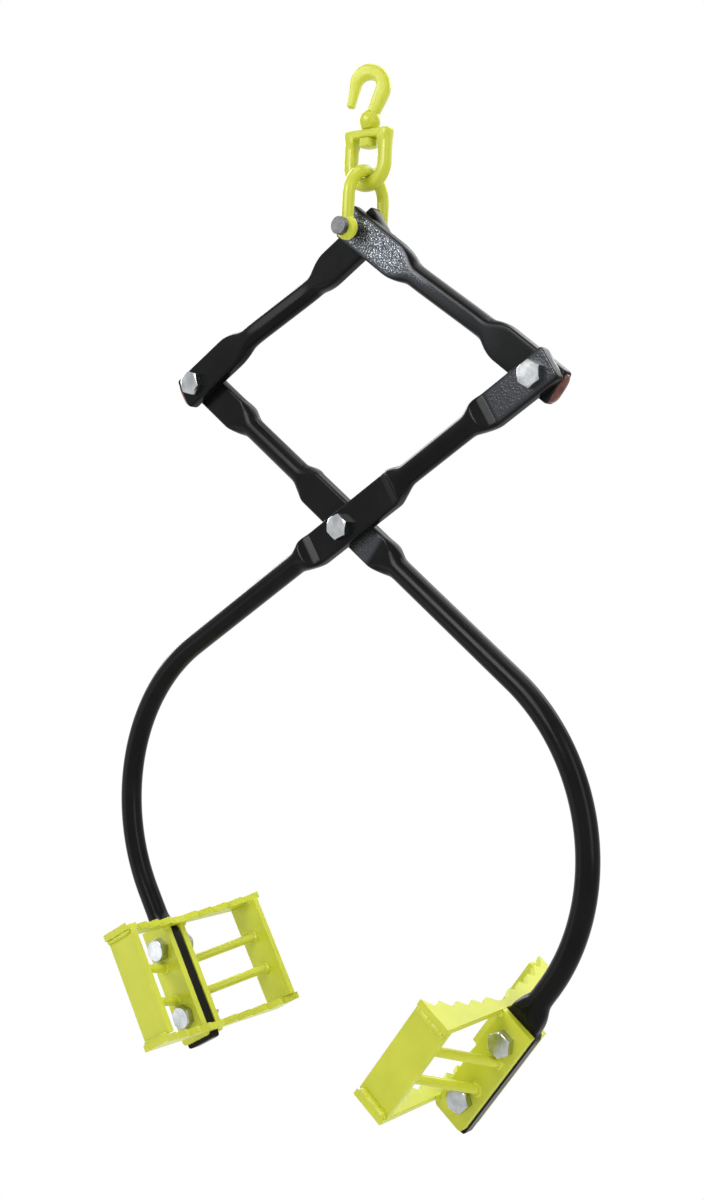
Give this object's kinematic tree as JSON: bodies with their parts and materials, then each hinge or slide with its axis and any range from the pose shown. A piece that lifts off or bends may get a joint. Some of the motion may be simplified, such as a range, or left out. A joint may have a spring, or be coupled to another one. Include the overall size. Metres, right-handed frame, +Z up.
{
  "type": "lifting tongs",
  "caption": "Scissor lifting tongs: a hook, swivel and shackle above crossed bar arms whose welded, toothed jaws close on a load as it is lifted.",
  "frame": {"origin": "the bearing point inside the top of the hook's bowl, where the tongs hang", "axes": "+Z up; +X from the left jaw to the right jaw; +Y from front to back, along the pivots"},
  "size_m": [0.4944, 0.1896, 0.8585],
  "materials": {
    "lime_paint": "gloss",
    "black_paint": "gloss",
    "zinc_plate": "satin",
    "plain_steel": "satin"
  },
  "bodies": {
    "hook_body": {"hook": "lime_paint", "swivel_nut": "lime_paint"},
    "bail_body": {"swivel_bail": "lime_paint"},
    "shackle_body": {"shackle": "lime_paint", "shackle_pin": "plain_steel", "pin_cotter": "plain_steel"},
    "left_link_body": {"left_link": "black_paint", "left_pivot_bolt": "zinc_plate", "left_pivot_nut": "zinc_plate"},
    "right_link_body": {"right_link": "black_paint"},
    "front_arm_body": {"front_arm": "black_paint", "right_pivot_bolt": "zinc_plate", "right_pivot_nut": "zinc_plate", "centre_pivot_bolt": "zinc_plate", "centre_pivot_nut": "zinc_plate", "left_upper_toothed_plate": "lime_paint", "left_lower_toothed_plate": "lime_paint", "left_front_end_plate": "lime_paint", "left_rear_end_plate": "lime_paint", "left_front_clamp_plate": "lime_paint", "left_rear_clamp_plate": "lime_paint", "left_front_rods": "lime_paint", "left_rear_rods": "lime_paint", "left_jaw_bolts": "zinc_plate", "left_jaw_nuts": "zinc_plate"},
    "rear_arm_body": {"rear_arm": "black_paint", "right_upper_toothed_plate": "lime_paint", "right_lower_toothed_plate": "lime_paint", "right_front_end_plate": "lime_paint", "right_rear_end_plate": "lime_paint", "right_front_clamp_plate": "lime_paint", "right_rear_clamp_plate": "lime_paint", "right_front_rods": "lime_paint", "right_rear_rods": "lime_paint", "right_jaw_bolts": "zinc_plate", "right_jaw_nuts": "zinc_plate"}
  },
  "joints": [
    {"name": "hook_swivel", "type": "hinge", "parent": "hook_body", "child": "bail_body", "pos_m": [0, 0, -0.045], "axis": [0, 0, 1], "continuous": true},
    {"name": "shackle_swing", "type": "hinge", "parent": "bail_body", "child": "shackle_body", "pos_m": [0, 0, -0.0863], "axis": [1, 0, 0], "range_deg": [-75, 75]},
    {"name": "tongs_swing", "type": "hinge", "parent": "shackle_body", "child": "left_link_body", "pos_m": [0, 0, -0.1255], "axis": [0, 1, 0], "range_deg": [-35, 35]},
    {"name": "link_spread", "type": "hinge", "parent": "left_link_body", "child": "right_link_body", "pos_m": [0, 0, -0.1255], "axis": [0, -1, 0], "range_deg": [-22.5, 40]},
    {"name": "rear_arm_open", "type": "hinge", "parent": "left_link_body", "child": "rear_arm_body", "pos_m": [-0.17801, 0, -0.24784], "axis": [0, -1, 0], "range_deg": [-22.5, 40]},
    {"name": "front_arm_open", "type": "hinge", "parent": "right_link_body", "child": "front_arm_body", "pos_m": [0.17801, 0, -0.24784], "axis": [0, 1, 0], "range_deg": [-22.5, 40]}
  ],
  "couplings": [
    {"joint": "rear_arm_open", "follows": "link_spread", "ratio": 1},
    {"joint": "front_arm_open", "follows": "link_spread", "ratio": 1}
  ]
}
